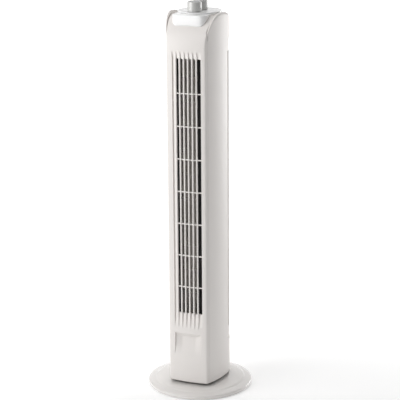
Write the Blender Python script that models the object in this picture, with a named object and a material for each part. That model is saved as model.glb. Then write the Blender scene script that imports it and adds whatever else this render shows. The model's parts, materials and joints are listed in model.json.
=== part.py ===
"""Tower fan on a round base: an oscillating column with a cross-flow impeller.

Frame: origin on the floor under the middle of the base, +Z up, the air outlet faces -Y.
The column (body "tower") swings about +Z on a hollow post that is fixed to the base. A crank on
a small geared motor in the column drives it, with its pin in a slotted arm on the post. The
impeller stands on the motor shaft and turns about +Z. Two knobs stand on the top dial.
All lengths are metres.
"""

import math

import bmesh
import bpy
from mathutils import Matrix, Vector

# Driving dimensions
TOTAL_H = 0.8020
BASE_R = 0.1080
BASE_TOP = 0.0170
BODY_BOTTOM = 0.0215
BODY_TOP = 0.7815
GAP = 0.0003

# Plan of the column: a round back, bowed sides, a small front corner and a crowned face
BACK_R = 0.0580
BACK_Y = 0.0120
SIDE_R = 0.1790
FACE_R = 0.2400
FACE_Y = -0.0670
CORNER_R = 0.0060
WALL = 0.0024
FACE_WALL = 0.0030
SEAM_Y = -0.0572

# Side view of the top: the side walls and the deck between them curve back from the face
TOP_Y = -0.0120
EAR_Z = 0.7310
EAR_LEN = 0.0460
DECK_Z = 0.7160
DECK_LEN = 0.0550
DECK_TOP = 0.7765
REAR_FALL = 3.2

# Outlet grille
SLOT_PITCH = 0.0088
SLOT_W = 0.0063
SLOT_COUNT = 6
SLOT_FIRST_X = -0.0168
LAST_SLOT_EXTRA = 0.0017
SLOT_BOTTOM = 0.1710
SLOT_TOP = 0.6955
RUNG_FIRST = 0.2277
RUNG_PITCH = 0.0664
RUNG_COUNT = 7
RUNG_H = 0.0026
GROOVE_BOTTOM = 0.1425
GROOVE_TOP = 0.7080
GROOVE_DEPTH = 0.0012
SCOOP_HALF = 0.0278
SCOOP_TOP = 0.1270
SCOOP_BOTTOM = 0.0850
SCOOP_DEPTH = 0.0018

# Intake panel in the round back, a little below the surface, and its louvres
PANEL_BOTTOM = 0.0980
PANEL_TOP = 0.7280
PANEL_EDGE = math.radians(6)
PANEL_STEP = 0.0012
PANEL_GAP = 0.0010
LOUVRE_BOTTOM = 0.1500
LOUVRE_TOP = 0.6950
LOUVRE_ROWS = 12
LOUVRE_COLUMNS = 3
LOUVRE_HALF_ANGLE = math.radians(58)

# Control box, dial and knobs
BOX_HALF = 0.0356
BOX_FRONT = -0.0528
BOX_CORNER = 0.0120
BOX_TOP = 0.7790
DIAL_R = 0.0450
KNOB_R = 0.0149
KNOB_H = TOTAL_H - BODY_TOP - 2 * GAP
SPEED_Y = -0.0155
TIMER_Y = 0.0170
SHAFT_R = 0.0030

# Impeller, its shaft and the motor
AXIS_X = -0.0090
AXIS_Y = 0.0040
IMPELLER_R = 0.0310
IMPELLER_INNER_R = 0.0235
IMPELLER_BOTTOM = 0.1518
IMPELLER_TOP = 0.7030
BLADES = 12
IMPELLER_RINGS = 5
PIN_R = 0.0040
PLATE_T = 0.0020
LOWER_PLATE = 0.1290
UPPER_PLATE = 0.7115
STATOR_BOTTOM = 0.0800
STATOR_TOP = 0.1050
STATOR_HALF = 0.0370
ROTOR_R = 0.0210

# Swing drive
SWING_LIMIT = math.radians(35)
CRANK_Y = 0.0260
CRANK_R = CRANK_Y * math.tan(SWING_LIMIT)
POST_R = 0.0110
POST_TOP = 0.0342
ARM_T = 0.0022
CRANK_PIN_R = 0.0025
SWING_MOTOR_R = 0.0245
SWITCH_TOP = 0.7763
LOOM_X = 0.0465
LOOM_Y = 0.0300

WHITE = (0.80, 0.79, 0.77)
DARK = (0.035, 0.035, 0.038)
GREY = (0.33, 0.33, 0.34)
SILVER = (0.62, 0.62, 0.60)
STEEL = (0.55, 0.56, 0.58)
COPPER = (0.50, 0.20, 0.09)
BRASS = (0.62, 0.47, 0.22)


# ---------------------------------------------------------------- scene and materials
def clear_scene():
    """Remove every object, mesh and material that the file starts with."""
    for obj in list(bpy.data.objects):
        bpy.data.objects.remove(obj)
    for mesh in list(bpy.data.meshes):
        bpy.data.meshes.remove(mesh)


def make_material(name, colour, roughness, metallic=0.0):
    """A Principled material with the part's own colour and finish."""
    material = bpy.data.materials.new(name)
    material.use_nodes = True
    shader = material.node_tree.nodes["Principled BSDF"]
    shader.inputs["Base Color"].default_value = (*colour, 1.0)
    shader.inputs["Roughness"].default_value = roughness
    shader.inputs["Metallic"].default_value = metallic
    return material


def make_empty(name, place, parent=None):
    """An empty that marks a joint's axis and carries the pieces that move with it."""
    empty = bpy.data.objects.new(name, None)
    empty.location = Vector(place) - (parent_place(parent) if parent else Vector())
    empty.parent = parent
    bpy.context.scene.collection.objects.link(empty)
    return empty


def parent_place(parent):
    """Where an unrotated empty stands in the world."""
    place = Vector()
    while parent:
        place += parent.location
        parent = parent.parent
    return place


def add_piece(name, mesh, finish, parent=None, axis=None):
    """Link a mesh made in world coordinates, with its origin on its own axis."""
    colour, roughness, metallic = finish
    origin = Vector(axis) if axis else parent_place(parent)
    mesh.name = name
    mesh.transform(Matrix.Translation(-origin))
    obj = bpy.data.objects.new(name, mesh)
    obj.parent = parent
    obj.location = origin - parent_place(parent)
    bpy.context.scene.collection.objects.link(obj)
    mesh.materials.append(make_material(name, colour, roughness, metallic))
    return obj


def add_cutter(name, mesh):
    """A guide body for a Boolean, left out of the build."""
    obj = bpy.data.objects.new(name, mesh)
    obj.hide_render = True
    obj.display_type = "WIRE"
    bpy.context.scene.collection.objects.link(obj)
    return obj


def combine(obj, mesh, operation="DIFFERENCE"):
    """Give a piece an exact Boolean with a guide mesh that stands in world coordinates."""
    cutter = add_cutter(f"{obj.name}_{operation.lower()}_{len(obj.modifiers)}", mesh)
    modifier = obj.modifiers.new(operation.title(), "BOOLEAN")
    modifier.operation = operation
    modifier.object = cutter
    modifier.solver = "EXACT"
    return modifier


# ---------------------------------------------------------------- mesh builders
def mesh_from(bm):
    """Turn a bmesh into a mesh with its faces pointing out."""
    bmesh.ops.recalc_face_normals(bm, faces=bm.faces)
    mesh = bpy.data.meshes.new("mesh")
    bm.to_mesh(mesh)
    bm.free()
    return mesh


def add_prism(bm, outline, low, high):
    """Extrude an (x, y) outline from low to high."""
    bottom = [bm.verts.new((x, y, low)) for x, y in outline]
    top = [bm.verts.new((x, y, high)) for x, y in outline]
    bm.faces.new(bottom)
    bm.faces.new(top)
    for i in range(len(outline)):
        j = (i + 1) % len(outline)
        bm.faces.new((bottom[i], bottom[j], top[j], top[i]))


def prism(outline, low, high):
    """One closed prism on an (x, y) outline."""
    bm = bmesh.new()
    add_prism(bm, outline, low, high)
    return mesh_from(bm)


def add_side_prism(bm, outline, left, right):
    """Extrude a (y, z) outline from left to right along X."""
    near = [bm.verts.new((left, y, z)) for y, z in outline]
    far = [bm.verts.new((right, y, z)) for y, z in outline]
    bm.faces.new(near)
    bm.faces.new(far)
    for i in range(len(outline)):
        j = (i + 1) % len(outline)
        bm.faces.new((near[i], near[j], far[j], far[i]))


def side_prism(outline, half_width):
    """One closed prism on a (y, z) outline, centred on X = 0."""
    bm = bmesh.new()
    add_side_prism(bm, outline, -half_width, half_width)
    return mesh_from(bm)


def add_turned(bm, profile, centre=(0.0, 0.0), segments=32):
    """Turn a closed (radius, z) profile about a vertical axis; radius 0 makes a pole."""
    rings = []
    for radius, z in profile:
        if radius < 1e-9:
            rings.append([bm.verts.new((centre[0], centre[1], z))])
            continue
        ring = []
        for k in range(segments):
            turn = 2 * math.pi * k / segments
            x = centre[0] + radius * math.cos(turn)
            y = centre[1] + radius * math.sin(turn)
            ring.append(bm.verts.new((x, y, z)))
        rings.append(ring)
    for i, ring in enumerate(rings):
        following = rings[(i + 1) % len(rings)]
        if len(ring) == 1 and len(following) == 1:
            continue
        for k in range(segments):
            m = (k + 1) % segments
            if len(ring) == 1:
                bm.faces.new((ring[0], following[m], following[k]))
            elif len(following) == 1:
                bm.faces.new((ring[k], ring[m], following[0]))
            else:
                bm.faces.new((ring[k], ring[m], following[m], following[k]))


def turned(profile, centre=(0.0, 0.0), segments=32, sharp=35):
    """One closed turned body, shaded smooth away from its edges."""
    bm = bmesh.new()
    add_turned(bm, profile, centre, segments)
    mesh = mesh_from(bm)
    mesh.shade_smooth()
    mesh.set_sharp_from_angle(angle=math.radians(sharp))
    return mesh


def tube(inner, outer, low, high, centre=(0.0, 0.0), segments=24):
    """A plain ring, or a disc when the inner radius is 0."""
    if inner == 0:
        return disc(outer, low, high, centre, segments)
    profile = [(inner, low), (outer, low), (outer, high), (inner, high)]
    return turned(profile, centre, segments)


def disc(radius, low, high, centre, segments):
    """A closed disc or rod with flat n-sided ends."""
    mesh = prism(arc(centre, radius, 0.0, 2 * math.pi, segments)[:-1], low, high)
    mesh.shade_smooth()
    mesh.set_sharp_from_angle(angle=math.radians(35))
    return mesh


def arc(centre, radius, start, end, steps):
    """Points along an arc from one angle to another, both ends included."""
    turns = [start + (end - start) * k / steps for k in range(steps + 1)]
    return [(centre[0] + radius * math.cos(t), centre[1] + radius * math.sin(t)) for t in turns]


def rounded_rectangle(x0, y0, x1, y1, radius, steps=3):
    """A rectangle's outline with round corners."""
    quarter = math.pi / 2
    corners = ((x1 - radius, y0 + radius), (x1 - radius, y1 - radius),
               (x0 + radius, y1 - radius), (x0 + radius, y0 + radius))
    points = []
    for k, corner in enumerate(corners):
        points += arc(corner, radius, (k - 1) * quarter, k * quarter, steps)
    return points


def ribbon(path, thickness):
    """The outline of a thin wall that follows an open path."""
    points = [Vector(p) for p in path]
    left, right = [], []
    for i, point in enumerate(points):
        ahead = points[min(i + 1, len(points) - 1)] - points[max(i - 1, 0)]
        side = Vector((-ahead.y, ahead.x)).normalized() * thickness / 2
        left.append(tuple(point + side))
        right.append(tuple(point - side))
    return left + right[::-1]


# ---------------------------------------------------------------- shape of the column
def meet_circles(a, radius_a, b, radius_b):
    """The meeting point of two circles that has the lower y and a positive x."""
    a, b = Vector(a), Vector(b)
    gap = b - a
    along = (radius_a**2 - radius_b**2 + gap.length_squared) / (2 * gap.length)
    across = math.sqrt(radius_a**2 - along**2)
    step = gap.normalized()
    side = Vector((-step.y, step.x)) * across
    foot = a + step * along
    return min((foot + side, foot - side), key=lambda p: p.y)


def body_outline(inset=0.0, back_steps=20):
    """The column's plan, moved inwards by inset, counterclockwise from the front left."""
    face_c = Vector((0.0, FACE_Y + FACE_R))
    side_c = Vector((BACK_R - SIDE_R, BACK_Y))
    corner_r = max(CORNER_R - inset, 0.0)
    reach = max(inset, CORNER_R)
    corner = meet_circles(face_c, FACE_R - reach, side_c, SIDE_R - reach)
    face_end = math.atan2(corner.y - face_c.y, corner.x - face_c.x)
    side_start = math.atan2(corner.y - side_c.y, corner.x - side_c.x)
    right = arc(face_c, FACE_R - inset, -math.pi / 2, face_end, 3)
    if corner_r > 0:
        right += arc(corner, corner_r, face_end, side_start, 4)[1:]
    right += arc(side_c, SIDE_R - inset, side_start, 0.0, 5)[1:]
    back = arc((0.0, BACK_Y), BACK_R - inset, 0.0, math.pi, back_steps)[1:-1]
    left = [(-x, y) for x, y in right[:0:-1]]
    return right + back + left


def body_outline_behind(y_front, inset):
    """The column's plan with everything in front of y_front cut off straight."""
    points = body_outline(inset)
    kept = []
    for i, (x, y) in enumerate(points):
        nx, ny = points[(i + 1) % len(points)]
        if y >= y_front:
            kept.append((x, y))
        if (y - y_front) * (ny - y_front) < 0:
            t = (y_front - y) / (ny - y)
            kept.append((x + (nx - x) * t, y_front))
    return kept


def curved_top(start_y, length, low, high, drop, end_y, steps=8):
    """(y, z) points of a top line: a quarter ellipse back from the face, then a slow fall."""
    centre = start_y + length
    rise = [(centre - length * math.cos(t), low + (high - low) * math.sin(t))
            for t in (math.pi / 2 * k / steps for k in range(steps + 1))]
    fall = []
    for k in range(1, steps // 2 + 1):
        y = centre + (end_y - centre) * k / (steps // 2)
        fall.append((y, high - drop * (y - centre) ** 2))
    return rise + fall


def ear_line():
    """The top edge of the side walls."""
    return curved_top(TOP_Y - EAR_LEN, EAR_LEN, EAR_Z, BODY_TOP, REAR_FALL, BACK_Y + BACK_R + 0.002)


def deck_line():
    """The deck between the side walls."""
    return curved_top(TOP_Y - DECK_LEN, DECK_LEN, DECK_Z, DECK_TOP, REAR_FALL, BACK_Y + BACK_R)


def box_outline(inset=0.0, steps=16):
    """Plan of the control box: a flat front with round corners that runs into the round dial."""
    half = BOX_HALF - inset
    radius = DIAL_R - inset
    front = BOX_FRONT + inset
    corner = max(BOX_CORNER - inset, 0.001)
    turn = math.asin(half / radius)
    right = arc((half - corner, front + corner), corner, -math.pi / 2, 0.0, 4)
    back = arc((0.0, BACK_Y), radius, turn - math.pi / 2, 1.5 * math.pi - turn, steps)
    left = [(-x, y) for x, y in right[::-1]]
    return right + back + left


def under_line(line, floor):
    """Close a (y, z) line down to a level floor."""
    return [(line[0][0], floor)] + line + [(line[-1][0], floor)]


# ---------------------------------------------------------------- finishes
PLASTIC_WHITE = (WHITE, 0.28, 0.0)
PLASTIC_DARK = (DARK, 0.45, 0.0)
PLASTIC_GREY = (GREY, 0.42, 0.0)
PLASTIC_CREAM = ((0.72, 0.68, 0.58), 0.40, 0.0)
KNOB_SILVER = (SILVER, 0.32, 0.85)
RUBBER = ((0.02, 0.02, 0.02), 0.80, 0.0)
METAL_STEEL = (STEEL, 0.30, 1.0)
METAL_ZINC = ((0.58, 0.59, 0.60), 0.38, 1.0)
METAL_COPPER = (COPPER, 0.35, 1.0)
METAL_BRASS = (BRASS, 0.40, 1.0)


# ---------------------------------------------------------------- base
def build_base_shell():
    """The round glossy dish with a hollow underside and a notch at the back for the inlet."""
    profile = [
        (0.0115, BASE_TOP), (0.0600, BASE_TOP - 0.0008), (0.0900, 0.0120), (0.1050, 0.0086),
        (BASE_R - 0.0006, 0.0064), (BASE_R, 0.0044), (BASE_R, 0.0012), (0.1058, 0.0012), (0.1056, 0.0054),
        (0.0900, 0.0094), (0.0600, 0.0138), (0.0115, 0.0145),
    ]
    shell = add_piece("base_shell", turned(profile, segments=48), PLASTIC_WHITE)
    notch = rounded_rectangle(-0.0050, 0.0960, 0.0050, 0.1120, 0.0010, 1)
    combine(shell, prism(notch, 0.0000, 0.0066))


def build_base_underside():
    """The flat cover under the dish, its screws and the rubber feet."""
    add_piece("base_cover", tube(0.0095, 0.1046, 0.0024, 0.0042, segments=40), PLASTIC_DARK)
    for k in range(5):
        turn = math.radians(18 + 72 * k)
        centre = (0.090 * math.cos(turn), 0.090 * math.sin(turn))
        profile = [(0.0, 0.0), (0.0060, 0.0), (0.0072, 0.0008), (0.0072, 0.0021), (0.0, 0.0021)]
        foot = turned(profile, centre, 16)
        add_piece(f"foot_{k + 1}", foot, RUBBER, axis=(*centre, 0.0))
    for k in range(3):
        turn = math.radians(90 + 120 * k)
        centre = (0.060 * math.cos(turn), 0.060 * math.sin(turn))
        profile = [(0.0, 0.0006), (0.0034, 0.0006), (0.0034, 0.0021), (0.0, 0.0021)]
        head = turned(profile, centre, 12)
        add_piece(f"base_screw_{k + 1}", head, METAL_ZINC, axis=(*centre, 0.0))


def build_cord_grommet():
    """The bush in the back of the rim where the mains lead would enter."""
    outline = rounded_rectangle(-0.0046, 0.0985, 0.0046, BASE_R, 0.0010, 2)
    grommet = add_piece("cord_grommet", prism(outline, 0.0046, 0.0062), RUBBER)
    lip = rounded_rectangle(-0.0046, 0.1058, 0.0046, BASE_R, 0.0006, 2)
    combine(grommet, prism(lip, 0.0014, 0.0054), "UNION")


def build_swivel():
    """The hollow post on the base with its slide ring, washer and nut."""
    post = [(0.0070, 0.0110), (0.0250, 0.0110), (0.0250, 0.0136), (POST_R, 0.0136),
            (POST_R, POST_TOP), (0.0070, POST_TOP)]
    add_piece("swivel_post", turned(post), METAL_STEEL)
    add_piece("swivel_ring", tube(0.0135, 0.0240, 0.0173, 0.0185), PLASTIC_CREAM)
    add_piece("retaining_washer", tube(POST_R + GAP, 0.0180, 0.0247, 0.0257), METAL_ZINC)
    flats = arc((0.0, 0.0), 0.0160, 0.0, 2 * math.pi * 5 / 6, 5)
    nut = add_piece("retaining_nut", prism(flats, 0.0260, 0.0310), METAL_ZINC)
    combine(nut, tube(0.0, POST_R + GAP, 0.0200, 0.0400))


def build_slotted_arm():
    """The fixed arm on top of the post; the crank's pin slides in its long slot."""
    low = POST_TOP + GAP
    high = low + ARM_T
    end = CRANK_Y + CRANK_R + 0.0075
    arm = add_piece(
        "slotted_arm", prism(rounded_rectangle(-0.0100, -0.0145, 0.0100, end, 0.0080, 4), low, high),
        METAL_STEEL)
    half = CRANK_PIN_R + 0.0009
    slot = rounded_rectangle(-half, CRANK_Y - CRANK_R - half, half, CRANK_Y + CRANK_R + half,
                             half * 0.98, 4)
    combine(arm, prism(slot, low - 0.01, high + 0.01))
    head = [(0.0, high + GAP), (0.0026, high + GAP), (0.0026, high + 0.0012), (0.0018, high + 0.0016),
            (0.0, high + 0.0016)]
    for k, x in enumerate((-0.0055, 0.0055)):
        centre = (x, -0.0071)
        add_piece(f"arm_screw_{k + 1}", turned(head, centre, 12), METAL_ZINC, axis=(*centre, high))


# ---------------------------------------------------------------- column covers
def build_tower_floor(pivot):
    """The plate that closes the column's bottom, with the hub that turns on the slide ring."""
    plate = prism(body_outline_behind(SEAM_Y + 0.0010, WALL + GAP), 0.0222, 0.0244)
    floor = add_piece("tower_floor", plate, PLASTIC_DARK, pivot)
    combine(floor, tube(0.0, 0.0262, 0.0188, 0.0235), "UNION")
    combine(floor, tube(0.0, POST_R + GAP, 0.0100, 0.0400))


def build_front_cover(pivot):
    """The crowned face with the outlet slots, and the deck that curves back over the top."""
    cover = add_piece("front_cover", prism(body_outline(), BODY_BOTTOM, DECK_Z), PLASTIC_WHITE, pivot)
    combine(cover, prism(body_outline(FACE_WALL), 0.0, 0.85))
    behind = SEAM_Y - GAP
    combine(cover, prism([(-0.08, behind), (0.08, behind), (0.08, 0.09), (-0.08, 0.09)], 0.0, 0.85))
    combine(cover, front_deck(), "UNION")
    combine(cover, prism(box_outline(0.0030), 0.70, 0.80))
    combine(cover, grille_cutter())
    combine(cover, groove_cutter())
    scoop = [(FACE_Y - 0.0050, SCOOP_TOP), (FACE_Y + SCOOP_DEPTH, SCOOP_TOP),
             (FACE_Y, SCOOP_BOTTOM), (FACE_Y - 0.0050, SCOOP_BOTTOM)]
    combine(cover, side_prism(scoop, SCOOP_HALF))


def front_deck():
    """A curved sheet that leaves the face's crowned top edge and runs back to the middle."""
    line = curved_top(TOP_Y - DECK_LEN, DECK_LEN, DECK_Z, DECK_TOP, REAR_FALL, BACK_Y)
    middle = [(y + FACE_WALL / 2, z) for y, z in line[:1]]
    middle = [(middle[0][0], DECK_Z - 0.0060)] + middle
    for (y0, z0), (y, z), (y1, z1) in zip(line, line[1:], line[2:] + [line[-1]]):
        run = Vector((y1 - y0, z1 - z0)).normalized()
        middle.append((y + run.y * FACE_WALL / 2, z - run.x * FACE_WALL / 2))
    outline = ribbon(middle, FACE_WALL - 0.0004)
    stations = [k / 4 - 1 for k in range(9)]
    bm = bmesh.new()
    columns = []
    for side in stations:
        column = []
        for y, z in outline:
            half = inner_half_width(max(y, SEAM_Y))
            crown = (side * half) ** 2 / (2 * FACE_R)
            fade = min(max((BOX_FRONT - y) / (BOX_FRONT - FACE_Y), 0.0), 1.0)
            column.append(bm.verts.new((side * half, y + crown * fade, z)))
        columns.append(column)
    bm.faces.new(columns[0])
    bm.faces.new(columns[-1])
    for near, far in zip(columns, columns[1:]):
        for i in range(len(outline)):
            j = (i + 1) % len(outline)
            bm.faces.new((near[i], near[j], far[j], far[i]))
    return mesh_from(bm)


def inner_half_width(y):
    """Half the width inside the side walls, at a given depth."""
    inset = WALL + 2 * GAP
    if y > BACK_Y:
        radius = BACK_R - inset
        return math.sqrt(max(radius**2 - (y - BACK_Y) ** 2, 1e-8))
    radius = SIDE_R - inset
    return BACK_R - SIDE_R + math.sqrt(radius**2 - (y - BACK_Y) ** 2)


def grille_cutter():
    """All the windows between the upright fins and the level rungs."""
    edges = [SLOT_BOTTOM]
    for k in range(RUNG_COUNT):
        level = RUNG_FIRST + RUNG_PITCH * k
        edges += [level - RUNG_H / 2, level + RUNG_H / 2]
    edges.append(SLOT_TOP)
    bm = bmesh.new()
    for k in range(SLOT_COUNT):
        left = SLOT_FIRST_X + SLOT_PITCH * k - SLOT_W / 2
        right = left + SLOT_W
        if k == SLOT_COUNT - 1:
            right += LAST_SLOT_EXTRA
        outline = [(left, -0.075), (right, -0.075), (right, -0.055), (left, -0.055)]
        for low, high in zip(edges[::2], edges[1::2]):
            add_prism(bm, outline, low, high)
    return mesh_from(bm)


def groove_cutter():
    """Shallow grooves that run on past the windows and fade into the face."""
    bm = bmesh.new()
    for k in range(-1, SLOT_COUNT):
        x = SLOT_FIRST_X + SLOT_PITCH * k
        surface = FACE_Y + x * x / (2 * FACE_R)
        floor = surface + GROOVE_DEPTH
        outline = [(surface - 0.002, GROOVE_BOTTOM), (surface, GROOVE_BOTTOM),
                   (floor, SLOT_BOTTOM), (floor, SLOT_TOP), (surface, GROOVE_TOP),
                   (surface - 0.002, GROOVE_TOP)]
        half = SLOT_W / 2 + 0.0004
        add_side_prism(bm, outline, x - half, x + half)
    return mesh_from(bm)


def build_rear_cover(pivot):
    """The side walls and round back in one shell, with the rear deck and the intake window."""
    wall = prism(body_outline(), BODY_BOTTOM, BODY_TOP)
    cover = add_piece("rear_cover", wall, PLASTIC_WHITE, pivot)
    combine(cover, prism(body_outline(WALL), 0.0, 0.85))
    front = [(-0.08, -0.08), (0.08, -0.08), (0.08, SEAM_Y), (-0.08, SEAM_Y)]
    combine(cover, prism(front, 0.0, 0.85))
    line = ear_line()
    over = [(-0.09, EAR_Z)] + line + [(0.09, line[-1][1]), (0.09, 0.85), (-0.09, 0.85)]
    combine(cover, side_prism(over, 0.09))
    combine(cover, rear_deck(), "UNION")
    combine(cover, prism(box_outline(0.0030), 0.70, 0.80))
    window = back_sector(BACK_R - 0.0060, BACK_R + 0.0040, PANEL_EDGE)
    combine(cover, prism(window, PANEL_BOTTOM, PANEL_TOP))


def back_sector(inner, outer, edge, steps=20):
    """Plan of a curved strip round the back, from one edge angle to the other."""
    centre = (0.0, BACK_Y)
    return arc(centre, inner, edge, math.pi - edge, steps) + arc(centre, outer, math.pi - edge, edge, steps)


def build_rear_grille(pivot):
    """The curved intake panel in the rear cover's window, held by two screws."""
    outer = BACK_R - PANEL_STEP
    plan = back_sector(outer - WALL, outer, PANEL_EDGE + PANEL_GAP / BACK_R)
    panel = prism(plan, PANEL_BOTTOM + PANEL_GAP, PANEL_TOP - PANEL_GAP)
    grille = add_piece("rear_grille", panel, PLASTIC_WHITE, pivot)
    combine(grille, louvre_cutter())
    for level in (LOWER_PLATE, UPPER_PLATE):
        hole = lying_rod(0.0036, 0.0, level + PLATE_T / 2, 0.0600, 0.0800)
        combine(grille, hole)


def deck_height(y):
    """Height of the rear part of the deck."""
    return DECK_TOP - REAR_FALL * (y - TOP_Y) ** 2


def rear_deck():
    """The back half of the deck, which reaches into the round wall."""
    outline = [p for p in body_outline(WALL * 0.5) if p[1] > BACK_Y + GAP]
    half = BACK_R - WALL * 0.5
    outline = [(half, BACK_Y + GAP)] + outline + [(-half, BACK_Y + GAP)]
    bm = bmesh.new()
    upper = [bm.verts.new((x, y, deck_height(y))) for x, y in outline]
    lower = [bm.verts.new((x, y, deck_height(y) - WALL)) for x, y in outline]
    count = len(outline)
    for i in range(count):
        j = (i + 1) % count
        bm.faces.new((lower[i], lower[j], upper[j], upper[i]))
    for i in range(count // 2):
        j = count - 1 - i
        if j - i == 2:
            bm.faces.new((upper[i], upper[i + 1], upper[j]))
            bm.faces.new((lower[i], lower[i + 1], lower[j]))
        elif j - i > 2:
            bm.faces.new((upper[i], upper[i + 1], upper[j - 1], upper[j]))
            bm.faces.new((lower[i], lower[i + 1], lower[j - 1], lower[j]))
    return mesh_from(bm)


def louvre_cutter():
    """Windows through the round back, in rows and columns."""
    bm = bmesh.new()
    pitch = (LOUVRE_TOP - LOUVRE_BOTTOM) / LOUVRE_ROWS
    width = 2 * LOUVRE_HALF_ANGLE / LOUVRE_COLUMNS
    for column in range(LOUVRE_COLUMNS):
        middle = math.pi / 2 - LOUVRE_HALF_ANGLE + width * (column + 0.5)
        start, end = middle - width * 0.42, middle + width * 0.42
        outline = (arc((0.0, BACK_Y), BACK_R - 0.006, start, end, 2)
                   + arc((0.0, BACK_Y), BACK_R + 0.004, end, start, 2))
        for row in range(LOUVRE_ROWS):
            low = LOUVRE_BOTTOM + pitch * (row + 0.22)
            add_prism(bm, outline, low, low + pitch * 0.56)
    return mesh_from(bm)


def lying_rod(radius, x, z, near, far, segments=12):
    """A closed rod along Y."""
    bm = bmesh.new()
    turns = [2 * math.pi * k / segments for k in range(segments)]
    spots = [(x + radius * math.cos(t), z + radius * math.sin(t)) for t in turns]
    start = [bm.verts.new((px, near, pz)) for px, pz in spots]
    end = [bm.verts.new((px, far, pz)) for px, pz in spots]
    bm.faces.new(start)
    bm.faces.new(end)
    for k in range(segments):
        m = (k + 1) % segments
        bm.faces.new((start[k], start[m], end[m], end[k]))
    return mesh_from(bm)


def build_grille_screws(pivot):
    """The screws in the back that hold the rear grille to the two end plates."""
    back = BACK_Y + BACK_R - PANEL_STEP
    for k, level in enumerate((LOWER_PLATE, UPPER_PLATE)):
        head = lying_rod(0.0032, 0.0, level + PLATE_T / 2, back - 0.0023, back - 0.0008)
        add_piece(f"grille_screw_{k + 1}", head, METAL_ZINC, pivot)


# ---------------------------------------------------------------- controls
def build_control_box(pivot):
    """The raised box that carries the dial, hollow from below."""
    box = add_piece("control_box", prism(box_outline(), 0.7450, BOX_TOP), PLASTIC_WHITE, pivot)
    combine(box, prism(box_outline(0.0022), 0.70, BOX_TOP - 0.0024))
    line = [(y, z + 2 * GAP) for y, z in deck_line()]
    line[0] = (line[0][0] - 0.01, line[0][1])
    line[-1] = (line[-1][0] + 0.01, line[-1][1])
    combine(box, side_prism(under_line(line, 0.60), 0.09))
    for y in (SPEED_Y, TIMER_Y):
        combine(box, tube(0.0, SHAFT_R + 0.0006, 0.77, 0.80, (0.0, y), 16))


def build_dial_plate(pivot):
    """The round scale plate on the box, with a hole for each spindle."""
    plate = tube(0.0, DIAL_R - 0.0005, BOX_TOP + GAP, BODY_TOP, (0.0, BACK_Y), 40)
    dial = add_piece("dial_plate", plate, PLASTIC_WHITE, pivot)
    for y in (SPEED_Y, TIMER_Y):
        combine(dial, tube(0.0, SHAFT_R + 0.0006, 0.77, 0.80, (0.0, y), 16))


def build_knob(name, y, pivot):
    """A knob with a skirt, a chamfered top and a pointer groove, and its own spindle."""
    axis = make_empty(f"{name}_axis", (0.0, y, BODY_TOP), pivot)
    low = BODY_TOP + 2 * GAP
    high = low + KNOB_H
    profile = [(0.0, low), (KNOB_R, low), (KNOB_R, high - 0.0012), (KNOB_R - 0.0012, high), (0.0, high)]
    knob = add_piece(f"{name}_knob", turned(profile, (0.0, y), 24), KNOB_SILVER, axis)
    bore = tube(0.0, SHAFT_R + GAP, BODY_TOP - 0.01, high - 0.0060, (0.0, y), 12)
    combine(knob, bore)
    groove = rounded_rectangle(-0.0009, y - KNOB_R - 0.004, 0.0009, y - 0.0050, 0.0008, 2)
    combine(knob, prism(groove, high - 0.0010, high + 0.01))
    spindle = tube(0.0, SHAFT_R, SWITCH_TOP + GAP, high - 0.0065, (0.0, y), 12)
    add_piece(f"{name}_spindle", spindle, METAL_BRASS, axis)


def build_switches(pivot):
    """The rotary speed switch and the clockwork timer under the box."""
    outline = rounded_rectangle(-0.0130, SPEED_Y - 0.0120, 0.0130, SPEED_Y + 0.0120, 0.0020, 2)
    add_piece("speed_switch", prism(outline, SWITCH_TOP - 0.0140, SWITCH_TOP), PLASTIC_DARK, pivot)
    can = tube(0.0, 0.0185, SWITCH_TOP - 0.0240, SWITCH_TOP, (0.0, TIMER_Y + 0.0040), 24)
    add_piece("timer_unit", can, METAL_ZINC, pivot)


# ---------------------------------------------------------------- air path
def end_plate(low, hole_r):
    """One end plate of the air duct, a level shelf inside the covers."""
    outline = body_outline_behind(SEAM_Y + 0.0010, PANEL_STEP + WALL + 2 * GAP)
    return prism(outline, low, low + PLATE_T), tube(0.0, hole_r, low - 0.01, low + 0.01, (AXIS_X, AXIS_Y))


def build_end_plates(pivot):
    """The lower plate carries the motor, the upper one the impeller's top bearing."""
    loom = (LOOM_X, LOOM_Y)
    for name, low, hole_r in (("duct_lower_plate", LOWER_PLATE, 0.0125),
                              ("duct_upper_plate", UPPER_PLATE, 0.0128)):
        mesh, hole = end_plate(low, hole_r)
        plate = add_piece(name, mesh, PLASTIC_DARK, pivot)
        combine(plate, hole)
        combine(plate, tube(0.0, 0.0036, low - 0.01, low + 0.01, loom, 12))


def build_duct_walls(pivot):
    """The scroll that wraps the impeller's left side, and the tongue at the right of the outlet."""
    low, high = LOWER_PLATE + PLATE_T + GAP, UPPER_PLATE - GAP
    path = [(-0.0250, -0.0600), (-0.0330, -0.0470), (-0.0400, -0.0330)]
    for k in range(7):
        turn = math.radians(206 - 16 * k)
        radius = 0.0395 + 0.0009 * k
        path.append((AXIS_X + radius * math.cos(turn), AXIS_Y + radius * math.sin(turn)))
    add_piece("scroll_wall", prism(ribbon(path, 0.0016), low, high), PLASTIC_DARK, pivot)
    path = [(0.0345, -0.0600), (0.0090, -0.0320), (0.0110, -0.0300), (0.0250, -0.0290),
            (0.0440, -0.0240)]
    add_piece("tongue_wall", prism(ribbon(path, 0.0016), low, high), PLASTIC_DARK, pivot)


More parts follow.
